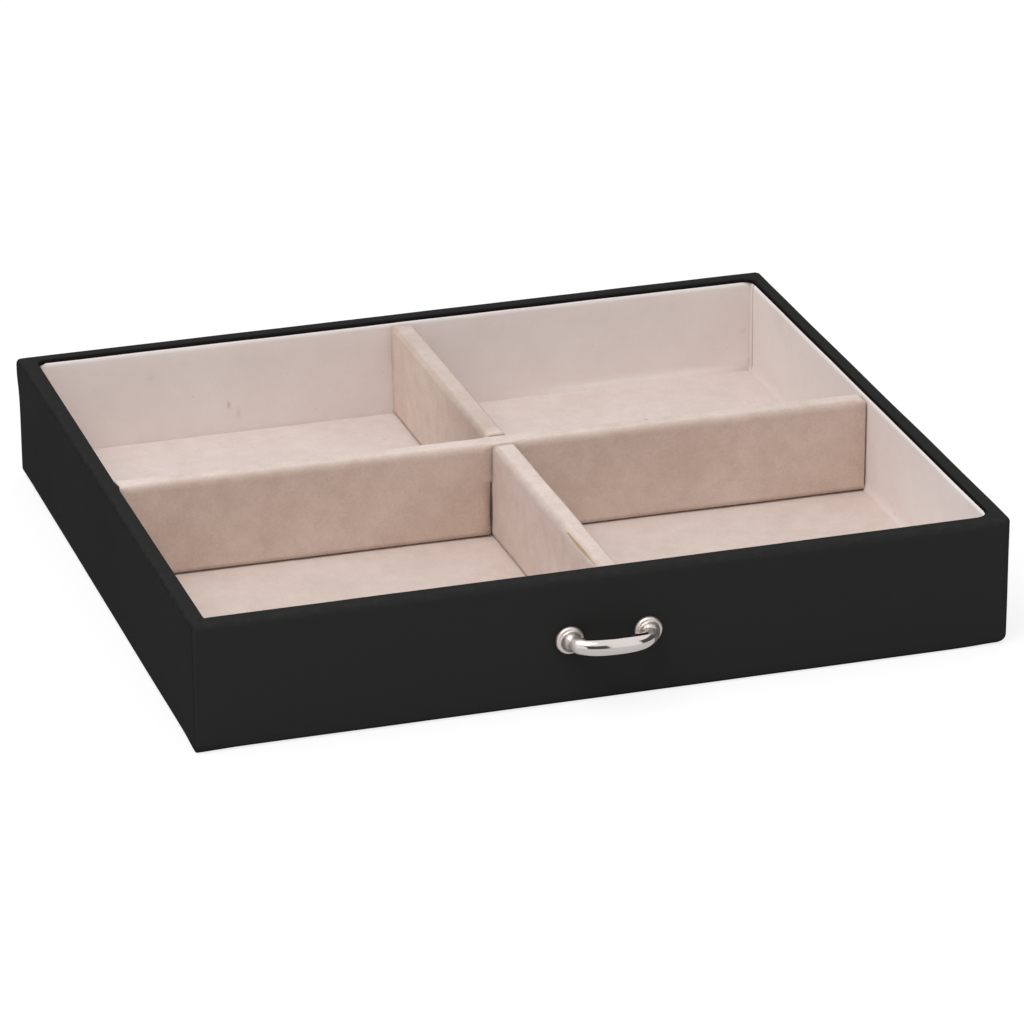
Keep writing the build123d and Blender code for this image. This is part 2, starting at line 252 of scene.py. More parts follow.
# The light and shade rows are painted light and shade: what the pile's colour is multiplied by, and where,
# by which way the cloth faces and where it stands. Each measure goes from none of the tint at its first
# value to all of it at its second. Places are in millimetres, and the ways that the cloth faces go from 0
# to 1. The marks are small stains and specks, and painted shade down the back right corner, where the
# dividers cross and at the short divider's back end: the middle and the half widths along X, Y and Z, and
# how dark.
velvet = dict(
    lean=26,
    mottles=5.5,
    grain=0.9,
    fibre=0.3,
    fleck=1.5,
    roughness=0.92,
    specular=0.12,
    sheen=0.15,
    markColour=(0.10, 0.06, 0.045),
    # The walls, the floor and the dividers are one velvet; their tones differ partly by the pile and
    # partly as painted light and shade.
    walls=dict(
        light=(0.864, 0.790, 0.760),
        dark=(0.800, 0.717, 0.684),
        mottle=0.35,
        lightAndShadeTints=[
            # painted highlight along the top of the walls, and painted light on the front half of the
            # right wall
            ((1.13, 1.16, 1.18), ("height", tray["liningTop"] - 1.4, tray["liningTop"] - 0.5)),
            ((1.04, 1.07, 1.09), ("across", 132, 136), ("deep", 0, -100)),
        ],
        marks=[
            ((-94.9, 120.1, 34.0), (1.8, 2.0, 1.8), 0.10),
            ((-65.9, 120.1, 19.9), (1.1, 2.0, 2.2), 0.26),
            ((-62.2, 120.1, 16.2), (1.6, 2.0, 3.4), 0.10),
            ((133.7, 120.1, 25.0), (2.2, 2.0, 1.6), 0.08),
            ((136.2, 119.5, 13.0), (1.8, 2.0, 1.6), 0.10),
            # painted shade: the dark line and the soft darkening down the back right corner
            ((136.9, 116.4, 20.0), (1.1, 1.0, 60.0), 0.75),
            ((136.9, 119.4, 20.0), (1.5, 2.6, 60.0), 0.05),
            ((136.9, -33.5, 11.5), (2.0, 2.0, 1.2), 0.14),
            ((136.9, -30.5, 14.0), (2.0, 1.8, 1.0), 0.10),
        ],
    ),
    floor=dict(
        light=(0.800, 0.680, 0.625),
        dark=(0.665, 0.540, 0.485),
        mottle=0.45,
        lightAndShadeTints=[
            # painted light and shade: the floor darker overall and lighter behind the long divider
            ((0.94, 0.95, 0.95),),
            ((1.05, 1.08, 1.11), ("deep", -10, 15)),
        ],
        marks=[
            ((-13.9, 95.1, 9.2), (1.8, 1.8, 2.0), 0.10),
        ],
    ),
    dividers=dict(
        light=(0.755, 0.620, 0.553),
        dark=(0.580, 0.443, 0.375),
        mottle=0.45,
        # painted sheen and light: how far the pile is lightened from upright to level cloth, and what it
        # is multiplied by where it is lightened most
        sheenLitStops=[(0, 0.37), (0.15, 0.20), (0.47, 0.0), (0.66, 0.14), (0.81, 0.33), (0.94, 0.66), (1, 1)],
        sheenLitTop=(1.29, 1.36, 1.42),
        lightAndShadeTints=[
            # painted light and shade: the dividers' tops, left faces and front faces lightened or darkened
            # by which way they face and where they stand
            ((0.87, 0.87, 0.87),),
            ((0.85, 0.83, 0.81), ("toTop", 0.5, 0.95), ("deep", 6, 14)),
            ((0.93, 0.925, 0.92), ("toTop", 0.5, 0.95), ("across", 10, 130)),
            ((1.05, 1.07, 1.09), ("toLeft", 0.4, 0.9), ("deep", 0, -10)),
            ((0.90, 0.87, 0.845), ("toLeft", 0.4, 0.9), ("deep", -4, 6)),
            ((1.20, 1.26, 1.275), ("toLeft", 0.4, 0.9), ("deep", 30, 70)),
            ((1.0, 0.985, 0.955), ("toFront", 0.4, 0.9)),
            ((1.03, 1.02, 1.02), ("toFront", 0.4, 0.9), ("across", -130, 0)),
        ],
        marks=[
            ((55.8, 2.6, 43.6), (1.5, 0.9, 1.2), 0.32),
            # painted shade where the dividers cross: down the seam above the slot, and in the slot's gap
            ((-3.0, -3.2, 36.5), (1.2, 1.4, 8.5), 0.22),
            ((-3.0, -3.2, 33.0), (2.8, 1.4, 5.0), 0.10),
            ((-2.9, -3.0, 19.0), (1.5, 0.9, 11.5), 0.85),
            # painted shade on the short divider's back end, against the back wall
            ((-3.6, 119.8, 24.0), (2.5, 5.0, 34.0), 0.16),
        ],
    ),
)


# Short pile: soft clouds where the pile leans, mottles and grain, and a fine speckle of fibre ends, then
# painted light and shade by which way the cloth faces and where it is, a few darker flecks, and the small
# stains and painted shade in corners and seams.
def makeVelvet(kind):
    facts = velvet[kind]
    light, dark, mottle = facts["light"], facts["dark"], facts["mottle"]
    material, recipe = newMaterial(f"{kind}Velvet")
    spot = recipe.place()
    leaning = recipe.cloud(spot, velvet["lean"], detail=3.0, roughness=0.5, distortion=0.5)
    mottles = recipe.cloud(spot, velvet["mottles"], detail=3.0, roughness=0.6)
    grain = recipe.cloud(spot, velvet["grain"], detail=3.0, roughness=0.7)
    fibres = recipe.cloud(spot, velvet["fibre"], detail=2.0, roughness=0.7)
    mixed = leaning * (0.7 - mottle) + mottles * mottle * 0.5 + grain * mottle * 0.5 + fibres * 0.3
    pile = recipe.blend(recipe.between(mixed, 0.32, 0.68), dark, light)
    facing, place = recipe.facing(), recipe.placeInMillimetres()
    measures = dict(
        toLeft=recipe.axis(facing, 0) * -1,
        toFront=recipe.axis(facing, 1) * -1,
        toTop=recipe.axis(facing, 2),
        across=recipe.axis(place, 0),
        deep=recipe.axis(place, 1),
        height=recipe.axis(place, 2),
    )
    # painted sheen and light: the pile lightened by how far the cloth faces up
    if "sheenLitTop" in facts:
        pale = recipe.node("ValToRGB", {"stops": facts["sheenLitStops"]}, {"Fac": measures["toTop"]})
        pile = recipe.tint(pile, pale, facts["sheenLitTop"])
    # painted light and shade, by which way the cloth faces and where it is
    for factors, *limits in facts["lightAndShadeTints"]:
        share = 1.0
        for name, first, last in limits:
            share = share * recipe.between(measures[name], first, last)
        pile = recipe.tint(pile, share, factors)
    flecks = recipe.between(recipe.cloud(spot, velvet["fleck"], detail=1.0), 0.765, 0.80) * 0.25
    colour = recipe.blend(flecks, pile, tuple(0.6 * part for part in dark))
    for middle, widths, depth in facts["marks"]:
        away = recipe.vector("DIVIDE", recipe.vector("SUBTRACT", place, middle), widths)
        inside = recipe.between(recipe.vector("LENGTH", away, output=1), 1.0, 0.2)
        colour = recipe.blend(inside * depth, colour, velvet["markColour"])
    recipe.finish({
        "Base Color": colour,
        "Roughness": velvet["roughness"],
        "Specular IOR Level": velvet["specular"],
        "Sheen Weight": velvet["sheen"],
        "Sheen Roughness": 0.45,
        "Sheen Tint": light,
        "Normal": recipe.bump(fibres * 0.4 + grain * 0.6, 0.10, 0.40),
    })
    return material


# the colours from dark to light, the size of a fibre or pore, and how deep it is
hiddenFinishes = dict(
    felt=dict(colours=((0.006, 0.006, 0.007), (0.030, 0.029, 0.030)), grain=0.5, tufts=6, depth=0.15),
    board=dict(colours=((0.30, 0.195, 0.110), (0.60, 0.455, 0.300)), grain=1.2, clumps=9, depth=0.12),
    card=dict(colours=((0.36, 0.33, 0.29), (0.58, 0.54, 0.48)), grain=0.8, depth=0.05),
    foam=dict(colours=((0.62, 0.57, 0.44), (0.84, 0.81, 0.72)), grain=0.9, depth=0.3),
)


# A dull finish: the pattern blends the two colours, and the height stands up a little as a bump.
def finishDull(recipe, facts, pattern, height, roughness, specular, strength, sheen=0.0):
    recipe.finish({
        "Base Color": recipe.blend(pattern, *facts["colours"]),
        "Roughness": roughness,
        "Specular IOR Level": specular,
        "Sheen Weight": sheen,
        "Normal": recipe.bump(height, facts["depth"], strength),
    })


def makeFelt():
    facts = hiddenFinishes["felt"]
    material, recipe = newMaterial("blackFelt")
    spot = recipe.place()
    fibres = recipe.cloud(spot, facts["grain"], detail=5.0, roughness=0.75, distortion=1.2)
    tufts = recipe.cloud(spot, facts["tufts"], detail=3.0)
    finishDull(recipe, facts, fibres * 0.6 + tufts * 0.4, fibres, 0.95, 0.1, 0.6, sheen=0.15)
    return material


def makeFibreboard():
    facts = hiddenFinishes["board"]
    material, recipe = newMaterial("rawFibreboard")
    pressed = recipe.place((1, 1, 3))
    fibres = recipe.cloud(pressed, facts["grain"], detail=5.0, roughness=0.7, distortion=0.8)
    clumps = recipe.cloud(recipe.place(), facts["clumps"], detail=3.0)
    finishDull(recipe, facts, fibres * 0.65 + clumps * 0.35, fibres, 0.82, 0.2, 0.5)
    return material


def makeGreyCard():
    facts = hiddenFinishes["card"]
    material, recipe = newMaterial("greyCard")
    fibres = recipe.cloud(recipe.place(), facts["grain"], detail=5.0, roughness=0.7, distortion=0.6)
    finishDull(recipe, facts, fibres, fibres, 0.85, 0.2, 0.4)
    return material


def makeFoam():
    facts = hiddenFinishes["foam"]
    material, recipe = newMaterial("paddingFoam")
    pores = recipe.cells(recipe.place(), facts["grain"], smooth=0.1)
    finishDull(recipe, facts, recipe.between(pores, 0.15, 0.6), pores, 0.95, 0.1, 0.7)
    return material


nickel = dict(
    bright=(0.80, 0.750, 0.725),
    dull=(0.68, 0.620, 0.58),
    cast=(0.85, 0.76, 0.715),
    castRoughness=0.34,
    # where the softer casting gives way to polish: how far out at the feet and at the bar's two roots,
    # and how far from the middle the roots begin
    footEnd=(7.0, 5.0),
    rootEnd=(10.5, 8.5),
    rootStart=(9.5, 12.0),
)


# The bar is polished, and the feet keep the softer surface of the casting.
def makeNickel():
    material, recipe = newMaterial("polishedNickel")
    spot, place = recipe.place(), recipe.placeInMillimetres()
    haze = recipe.cloud(spot, 5, detail=4.0)
    scuffs = recipe.cloud(recipe.place((0.15, 1, 1)), 0.4, detail=3.0, roughness=0.7)
    lumps = recipe.cloud(spot, 1.6, detail=2.0)
    out = recipe.axis(place, 1) * -1 - tray["halfDepth"]
    across = recipe.axis(place, 0) - (handleLow[0] + handleHigh[0]) / 2
    fromMiddle = recipe.larger(across, across * -1)
    atRoot = recipe.between(out, *nickel["rootEnd"]) * recipe.between(fromMiddle, *nickel["rootStart"])
    onFoot = recipe.larger(recipe.between(out, *nickel["footEnd"]), atRoot)
    polished = recipe.blend(haze * 0.7 + scuffs * 0.3, nickel["dull"], nickel["bright"])
    recipe.finish({
        "Base Color": recipe.blend(onFoot, polished, nickel["cast"]),
        "Metallic": 1.0,
        "Roughness": 0.05 + haze * 0.08 + scuffs * 0.04 + onFoot * nickel["castRoughness"],
        "Normal": recipe.bump(scuffs * (1 - onFoot) * 0.02 + lumps * onFoot, 0.2, 0.5),
    })
    return material


screwSteel = dict(dark=(0.42, 0.42, 0.40), light=(0.66, 0.66, 0.68), bloom=1.1, turning=0.3)


def makeScrewSteel():
    material, recipe = newMaterial("zincPlatedSteel")
    bloom = recipe.cloud(recipe.place(), screwSteel["bloom"], detail=4.0)
    turned = recipe.cloud(recipe.place((1, 0.1, 1)), screwSteel["turning"], detail=3.0)
    recipe.finish({
        "Base Color": recipe.blend(bloom, screwSteel["dark"], screwSteel["light"]),
        "Metallic": 1.0,
        "Roughness": 0.28 + turned * 0.2,
        "Normal": recipe.bump(turned, 0.01, 0.5),
    })
    return material


finishes = dict(
    leatherette=makeLeatherette(),
    wallVelvet=makeVelvet("walls"),
    floorVelvet=makeVelvet("floor"),
    dividerVelvet=makeVelvet("dividers"),
    felt=makeFelt(),
    board=makeFibreboard(),
    card=makeGreyCard(),
    foam=makeFoam(),
    nickel=makeNickel(),
    screwSteel=makeScrewSteel(),
)
print("materials made")


# Smooth unevenness from -1 to 1: the mean of three sine waves that run at different slants, each about
# size long.
def drift(along, across, size, seed):
    total = 0.0
    for wave in range(3):
        slant = 1.7 * seed + 2.1 * wave
        length = size * (0.8 + 0.35 * wave)
        travel = along * math.cos(slant) + across * math.sin(slant)
        total = total + np.sin(2 * math.pi * travel / length + seed + 1.3 * wave)
    return total / 3


# Shares from 0 to 1 that crowd towards both ends: half of 1 minus the cosine of an even angle.
def crowded(count):
    return 0.5 - 0.5 * np.cos(math.pi * np.linspace(0, 1, count + 2)[1:-1])


def quarterTurn(count):
    return np.linspace(0, math.pi / 2, count)


# front right, back right, back left and front left, as signs of X and Y
ringCorners = np.array([(1, -1), (1, 1), (-1, 1), (-1, -1)])


# The columns of a ring round a rectangle, in this order: front right corner, right side, back right
# corner, back, back left corner, left side, front left corner, front. Each column has its corner, whether
# it is on the corner's arc or on the straight run after it, and its share of that arc or run.
def ringColumns(alongWidth, alongDepth, arcSteps):
    corner, onArc, share = [], [], []
    arc = np.linspace(0, 1, arcSteps + 1)
    for number in range(4):
        run = alongDepth if number % 2 == 0 else alongWidth
        corner += [number] * (len(arc) + len(run))
        onArc += [True] * len(arc) + [False] * len(run)
        share += [*arc, *run]
    return dict(corner=np.array(corner), onArc=np.array(onArc), share=np.array(share))


# Points round a rectangle with rounded corners, row by row. On an arc, a point is the corner's centre
# plus the radius times (cos, sin) of an angle that grows by 90 degrees. On a run, it lies between the
# ends of two arcs.
def ringPoints(columns, halfX, halfY, radius):
    corner, share = columns["corner"], columns["share"]
    after = (corner + 1) % 4

    def onCorner(which, angle):
        bend = radius[:, which]
        x = ringCorners[which, 0] * (halfX - bend) + bend * np.cos(angle)
        y = ringCorners[which, 1] * (halfY - bend) + bend * np.sin(angle)
        return x, y

    start = math.pi / 2 * (corner - 1)
    arcX, arcY = onCorner(corner, start + math.pi / 2 * share)
    fromX, fromY = onCorner(corner, start + math.pi / 2)
    toX, toY = onCorner(after, start + math.pi / 2)
    x = np.where(columns["onArc"], arcX, fromX + (toX - fromX) * share)
    y = np.where(columns["onArc"], arcY, fromY + (toY - fromY) * share)
    return x, y


# Puts a grid of points into a mesh, as one face for each cell that is kept, and joins points that
# coincide.
def meshFromGrid(name, x, y, z, closed, keep=None, inward=False):
    rows, count = x.shape
    number = np.arange(rows * count).reshape(rows, count)
    after = np.roll(number, -1, axis=1)
    cells = np.stack([number[:-1], after[:-1], after[1:], number[1:]], axis=-1)
    if not closed:
        cells = cells[:, :-1]
    if keep is not None:
        cells = cells[keep]
    cells = cells.reshape(-1, 4)
    if inward:
        cells = cells[:, ::-1]
    points = np.stack([x, y, z], axis=-1).reshape(-1, 3) * mm
    mesh = bpy.data.meshes.new(name)
    mesh.from_pydata(points.tolist(), [], cells.tolist())
    work = bmesh.new()
    work.from_mesh(mesh)
    bmesh.ops.remove_doubles(work, verts=work.verts, dist=0.002 * mm)
    bmesh.ops.dissolve_degenerate(work, edges=work.edges, dist=0.001 * mm)
    loose = [vertex for vertex in work.verts if not vertex.link_faces]
    bmesh.ops.delete(work, geom=loose, context="VERTS")
    work.to_mesh(mesh)
    work.free()
    mesh.polygons.foreach_set("use_smooth", [True] * len(mesh.polygons))
    piece = bpy.data.objects.new(name, mesh)
    bpy.context.scene.collection.objects.link(piece)
    return piece


def placesOf(piece):
    flat = np.empty(len(piece.data.vertices) * 3)
    piece.data.vertices.foreach_get("co", flat)
    return flat.reshape(-1, 3) / mm


# gives a surface its thickness, inwards from its outer side
def thicken(piece, thickness):
    wall = piece.modifiers.new("thickness", "SOLIDIFY")
    wall.thickness = thickness * mm
    wall.offset = -1
    wall.use_even_offset = True


# gives a piece its finish and the body it moves with, and hides the nodes it stands for
def seat(piece, body, finish, slotName, *nodes):
    piece.data.materials.append(finishes[finish])
    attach(piece, body)
    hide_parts(*nodes)


wrap = dict(
    # right, back, left and front: each alike all along, or at even steps from its start to its end
    rimRadius=((1.6, 2.95), 2.4, 2.4, 2.4),
    lipRadius=(1.3, 1.3, 0.8, 0.6),
    lipInset=((5.62, 5.43), 5.6, (6.1, 5.86, 5.54, 5.56, 5.62), 5.75),
    bottomRadius=(1.5, 1.5, (2.6, 1.5), 1.5),
    # front right, back right, back left and front left
    uprightRadius=(3.9, 2.6, 0.9, 1.5),
    openingRadius=(7.2, 4.2, 4.0, 1.2),
    rimRadiusAtCorner=(1.9, 2.6, 2.6, 2.6),
    bottomRadiusAtCorner=(2.6, 1.8, 2.2, 0.6),
    softReach=9.0,
    leastRadius=0.35,
    openingCurve=0.7,
    hemWidth=14.0,
    turnInBottom=31.8,
    boardTopRadius=1.7,
    boardBottomRadius=0.8,
    unevenness=0.07,
    waveLength=47,
    # what the rim and the turned-in edge add to the flat strip
    rimWidth=5.6,
    turnInWidth=14.0,
    # how far the real tray's corners stand out of true: side, depth and height of the corner, then its
    # shift
    outOfTrue=[
        ((-1, 1, 0), (0.0, 0.0, 0.32)),
        ((-1, 1, 1), (-0.27, 0.0, 0.0)),
        ((1, 1, 1), (-0.12, 0.0, 0.42)),
        ((1, -1, 0), (0.0, 0.0, -0.20)),
        ((1, -1, 1), (0.15, 0.0, 0.0)),
    ],
    # a crease and a peak at each corner of the rim, a nub of the lip where the long divider's left end
    # rubs it, and the bulge at the back left upright's top
    crease=dict(depth=0.22, width=0.35, start=2, full=5, end=16),
    peak=dict(heights=(0.0, 0.6, 0.1, 0.1), width=2.2),
    nub=dict(y=-3.5, width=1.1, height=0.7, reach=8),
    bulge=dict(out=0.45, width=5.0, below=5.0, height=7.0),
    # where the leather is worn pale, and where it is shaded dark: over the far sides' top edges, down the
    # inside of the lip, under the hem's edge and on the front right upright
    rimWear=dict(inset=0.8, width=1.6, height=2.0),
    farShade=dict(width=0.7, start=42.0, full=44.0),
    lipShade=dict(inset=3.5, start=0.15, full=0.65, below=0.5),
    hemShade=dict(height=0.9),
    uprightShade=dict(width=0.8, depth=3.0),
    darkest=0.75,
)


# A bell curve: e to the power of minus the square of the distance over the width.
def bell(distance, width):
    return np.exp(-((distance / width) ** 2))


# How near each column is to each corner: 1 on the corner's arc, falling as a bell curve along the runs.
def nearCorners(columns, reach):
    length = np.where(columns["corner"] % 2 == 0, 2 * tray["halfDepth"], 2 * tray["halfWidth"])
    past = np.where(columns["onArc"], 0.0, columns["share"] * length)
    left = np.where(columns["onArc"], length, (1 - columns["share"]) * length)
    near = np.zeros((4, len(length)))
    for number in range(4):
        behind = np.where(columns["corner"] == number, bell(past, reach), 0)
        ahead = np.where((columns["corner"] + 1) % 4 == number, bell(left, reach), 0)
        near[number] = behind + ahead
    return near


# The value of each side, evenly between its steps from its start to its end, and blended over the corners'
# arcs.
def sideValues(columns, values):
    runs = [value if isinstance(value, tuple) else (value,) for value in values]
    corner, share = columns["corner"], columns["share"]
    result = 0.0 * share
    for number, run in enumerate(runs):
        arc = runs[number - 1][-1] + (run[0] - runs[number - 1][-1]) * share
        along = np.interp(share, np.linspace(0, 1, len(run)), run)
        result = np.where(corner == number, np.where(columns["onArc"], arc, along), result)
    return result


# The leatherette's section, from the hem's inner edge out and up the face, over the rim, down inside the
# lip to the end of the turn-in, and back along the boards. Arcs are the radius times 1 minus sine or
# cosine.
def wrapSection(rimRadius, bottomRadius, lipRadius, lip):
    quarter = quarterTurn(11)[:, None]
    flat = np.ones_like(rimRadius)
    bottom, top = tray["hemBottom"], tray["rimTop"]
    sunk = tray["boardOuter"]
    boardTop, boardBottom = wrap["boardTopRadius"], wrap["boardBottomRadius"]
    inset, height, kind = [], [], []

    def add(insets, heights, name):
        insets = insets + 0 * flat
        heights = heights + 0 * flat
        inset.append(insets)
        height.append(heights)
        kind.extend([name] * len(insets))

    share = np.linspace(0, 1, 7)[:-1, None]
    add(wrap["hemWidth"] + (bottomRadius - wrap["hemWidth"]) * share, bottom + 0 * share, "hem")
    add(bottomRadius * (1 - np.sin(quarter)), bottom + bottomRadius * (1 - np.cos(quarter)), "edge")
    share = np.linspace(0, 1, 22)[1:-1, None]
    low, high = bottom + bottomRadius, top - rimRadius
    add(0 * share, low + (high - low) * share, "face")
    add(rimRadius * (1 - np.cos(quarter)), top - rimRadius * (1 - np.sin(quarter)), "edge")
    share = np.linspace(0, 1, 10)[1:-1, None]
    add(rimRadius + (lip - lipRadius - rimRadius) * share, top + 0 * share, "rim")
    add(lip - lipRadius * (1 - np.sin(quarter)), top - lipRadius * (1 - np.cos(quarter)), "lip")
    add(lip[None, :], np.array([[tray["liningTop"]]]), "inside")
    edge, inner = tray["turnIn"], tray["boardInner"]
    hiddenInsets = np.array([edge, edge, inner, inner])[:, None]
    turnInBottom = wrap["turnInBottom"]
    hiddenHeights = [tray["liningTop"], turnInBottom, turnInBottom, tray["boardTop"]]
    add(hiddenInsets, np.array(hiddenHeights)[:, None], "inside")
    turn = quarter[::2]
    overBoard = tray["boardTop"] - boardTop * (1 - np.cos(turn))
    add(sunk + boardTop * (1 - np.sin(turn)), overBoard, "inside")
    underBoard = tray["boardBottom"] + boardBottom * (1 - np.sin(turn))
    add(sunk + boardBottom * (1 - np.cos(turn)), underBoard, "inside")
    add(np.array([[wrap["hemWidth"]]]), np.array([[tray["boardBottom"]]]), "inside")
    add(np.array([[wrap["hemWidth"]]]), np.array([[bottom]]), "hem")
    return np.concatenate(inset), np.concatenate(height), np.array(kind)


# The corner radius of each row: the upright's less the row's inset, growing over the rim to the opening's.
def cornerValues(inset, kind, rimRadius, lip):
    upright = np.array(wrap["uprightRadius"])
    opening = np.array(wrap["openingRadius"])
    middle = inset.mean(axis=1)
    bend = np.maximum(upright - middle[:, None], wrap["leastRadius"])
    lipRows = (kind == "lip") | (kind == "rim")
    depth = np.clip((middle - rimRadius) / (lip - rimRadius), 0, 1)
    grown = bend + (opening - bend) * (depth[:, None] ** wrap["openingCurve"])
    return np.where(lipRows[:, None], grown, bend)


# Each corner's shift, weighted by how near the point is to it along each of the three axes.
def pushOutOfTrue(x, y, z):
    moved = [x, y, z]
    for (side, deep, up), shift in wrap["outOfTrue"]:
        weight = np.clip((1 + side * x / tray["halfWidth"]) / 2, 0, 1)
        weight = weight * np.clip((1 + deep * y / tray["halfDepth"]) / 2, 0, 1)
        rise = np.clip(z / tray["rimTop"], 0, 1)
        weight = weight * (rise if up else 1 - rise)
        moved = [value + weight * step for value, step in zip(moved, shift)]
    return moved


# The skin's unevenness, and a crease and a peak on the rim at each corner: the crease runs along the
# diagonal, from where it starts to where it ends inwards of the corner.
def unevenSkin(x, y, z, kind):
    halfWidth, halfDepth = tray["halfWidth"], tray["halfDepth"]
    outside = (kind != "inside")[:, None]
    wave = wrap["unevenness"] * drift(x + z, y - z, wrap["waveLength"], 2.0) * outside
    x = x + np.sign(x) * wave * (np.abs(x) > halfWidth - 1)
    y = y + np.sign(y) * wave * (np.abs(y) > halfDepth - 1)
    rim = ((kind == "rim") | (kind == "lip") | (kind == "edge"))[:, None] & (z > tray["rimTop"] / 2)
    z = z + 0.6 * wave * rim
    crease, peak = wrap["crease"], wrap["peak"]
    for (signX, signY), peakHeight in zip(ringCorners, peak["heights"]):
        sideways = (signX * x - halfWidth) - (signY * y - halfDepth)
        inward = (halfWidth - signX * x) + (halfDepth - signY * y)
        grown = np.clip((inward - crease["start"]) / (crease["full"] - crease["start"]), 0, 1)
        folded = bell(sideways / math.sqrt(2), crease["width"]) * (inward < crease["end"]) * rim
        z = z - crease["depth"] * folded * grown
        z = z + peakHeight * bell(inward, peak["width"]) * bell(sideways, peak["width"]) * rim
    return x, y, z


# The nub moves the lip sideways, and the bulge moves the outside, each by a bell curve.
def knockedSkin(x, y, z, kind):
    nub, bulge = wrap["nub"], wrap["bulge"]
    leftLip = (kind == "lip")[:, None] & (x < nub["reach"] - tray["halfWidth"])
    x = x + nub["height"] * bell(y - nub["y"], nub["width"]) * leftLip
    fromCorner = np.hypot(x + tray["halfWidth"], y - tray["halfDepth"])
    fromTop = tray["rimTop"] - bulge["below"] - z
    outside = (kind != "inside")[:, None]
    x = x - bulge["out"] * bell(fromCorner, bulge["width"]) * bell(fromTop, bulge["height"]) * outside
    return x, y, z


# Writes how worn and how shaded each point is, by bell curves of its distance from the marks.
def markSkin(piece):
    x, y, z = placesOf(piece).T
    rim, far, lip = wrap["rimWear"], wrap["farShade"], wrap["lipShade"]
    hem, upright = wrap["hemShade"], wrap["uprightShade"]
    fromOutside = np.minimum(tray["halfWidth"] - np.abs(x), tray["halfDepth"] - np.abs(y))
    fromFarSides = np.minimum(tray["halfWidth"] - x, tray["halfDepth"] - y)
    worn = bell(z - tray["rimTop"], rim["height"]) * bell(fromOutside - rim["inset"], rim["width"])
    grown = np.clip((z - far["start"]) / (far["full"] - far["start"]), 0, 1)
    overEdge = bell(fromFarSides, far["width"]) * grown
    sunk = np.clip((tray["rimTop"] - z - lip["start"]) / (lip["full"] - lip["start"]), 0, 1)
    downLip = sunk * (fromOutside > lip["inset"]) * (z > tray["liningTop"] - lip["below"])
    underEdge = bell(z - tray["hemBottom"], hem["height"])
    onUpright = bell(fromFarSides, upright["width"]) * bell(y + tray["halfDepth"], upright["depth"])
    shaded = wrap["darkest"] * np.max([overEdge, downLip, underEdge, onUpright], axis=0)
    for name, values in dict(wear=worn, shade=shaded).items():
        layer = piece.data.attributes.new(name, "FLOAT", "POINT")
        layer.data.foreach_set("value", values.astype(np.float32))


def makeWrap():
    columns = ringColumns(crowded(110), crowded(100), 20)
    near = nearCorners(columns, wrap["softReach"])
    rimRadius = sideValues(columns, wrap["rimRadius"])
    lipRadius = sideValues(columns, wrap["lipRadius"])
    lip = sideValues(columns, wrap["lipInset"])
    bottomRadius = sideValues(columns, wrap["bottomRadius"])
    for number in range(4):
        rimRadius = rimRadius + (wrap["rimRadiusAtCorner"][number] - rimRadius) * near[number]
        softened = wrap["bottomRadiusAtCorner"][number]
        bottomRadius = bottomRadius + (softened - bottomRadius) * near[number]
    inset, z, kind = wrapSection(rimRadius, bottomRadius, lipRadius, lip)
    bend = cornerValues(inset, kind, rimRadius.mean(), lip.mean())
    bend[np.argmax(kind == "inside")] = wrap["openingRadius"]
    x, y = ringPoints(columns, tray["halfWidth"] - inset, tray["halfDepth"] - inset, bend)
    x, y, z = unevenSkin(x, y, z, kind)
    x, y, z = knockedSkin(x, y, z, kind)
    x, y, z = pushOutOfTrue(x, y, z)
    piece = meshFromGrid("leather_skin", x, y, z, closed=True)
    markSkin(piece)
    seat(piece, "tray", "leatherette", "leatherette", "leather_wrap")
    around = 4 * (tray["halfWidth"] + tray["halfDepth"]) * mm
    face = tray["rimTop"] - tray["hemBottom"]
    strip = (wrap["hemWidth"] + face + wrap["rimWidth"] + wrap["turnInWidth"]) * mm


makeWrap()
print("leatherette wrapped")


liner = dict(
    thickness=0.5,
    topRadius=0.5,
    # how far in from the turn-in's edge the lap on the card's top starts and levels out, and how far it
    # dips
    lap=dict(start=0.05, level=0.2, dip=0.25),
    lean=0.35,
    leanHeight=5.0,
    leanCurve=0.6,
    endRadius=0.8,
    endDepth=0.45,
    unevenness=0.16,
    waveLength=61,
    topUnevenness=0.10,
    topWaveLength=43,
    # how much further out a wall's cloth lies than the others', at its top and at its foot
    recess=dict(right=(0.03, 0.28)),
    # where the cloth runs out over the floor pad instead of meeting it in a crease: from and to along the
    # wall, and how far
    cove=dict(back=(-130, -58, 1.6), right=(-125, 125, 0.8)),
    coveHeight=3.6,
    coveSunk=0.6,
    coveSoftness=(5, 9),
    # the loose fold low at the right end of the back wall: where along it and how high
    fold=dict(back=(-133.0, 12.5)),
    foldSize=dict(width=3.6, rise=2.6, out=1.1),
)


